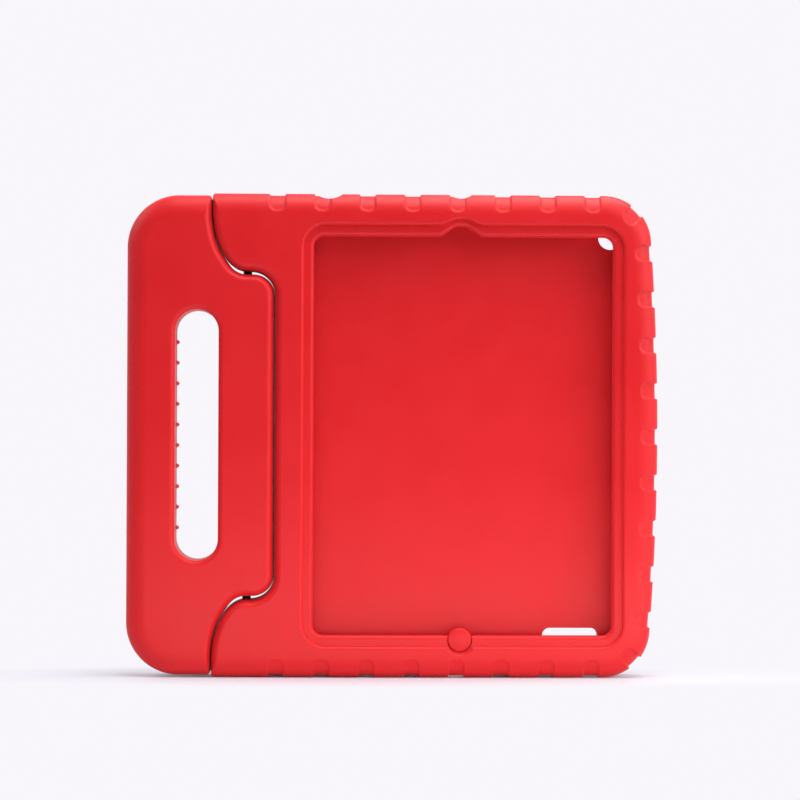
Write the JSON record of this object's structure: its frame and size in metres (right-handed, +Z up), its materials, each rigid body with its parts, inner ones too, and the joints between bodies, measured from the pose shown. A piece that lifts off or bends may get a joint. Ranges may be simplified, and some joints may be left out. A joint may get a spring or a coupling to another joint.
{
  "type": "kids tablet case",
  "caption": "Thick red foam tablet case with a fold-back carrying handle on two pins, a stepped lip round the screen, tread grooves and a press pad over the tablet's button.",
  "frame": {"origin": "middle of the lower edge that the case stands on, at half the thickness", "axes": "+X from the handle to the far side, +Y from the front to the back, +Z up the case"},
  "size_m": [0.2848, 0.028, 0.2589],
  "materials": {
    "red_foam": "moulded EVA foam, satin matte",
    "black_nylon": "moulded, satin"
  },
  "bodies": {
    "case": {"case_body": "red_foam", "hinge_pin_upper": "black_nylon", "hinge_pin_lower": "black_nylon"},
    "handle": {"handle": "red_foam", "hinge_bush_upper": "black_nylon", "hinge_bush_lower": "black_nylon"},
    "button": {"home_button_pad": "red_foam"}
  },
  "joints": [
    {"name": "handle_fold", "type": "hinge", "parent": "case", "child": "handle", "pos_m": [-0.07842, 0.0068, 0.12945], "axis": [0, 0, -1], "range_deg": [0, 100]},
    {"name": "button_press", "type": "slide", "parent": "case", "child": "button", "axis": [0, 1, 0], "range_m": [0, 0.0015], "stiffness_N_per_m": 300}
  ]
}
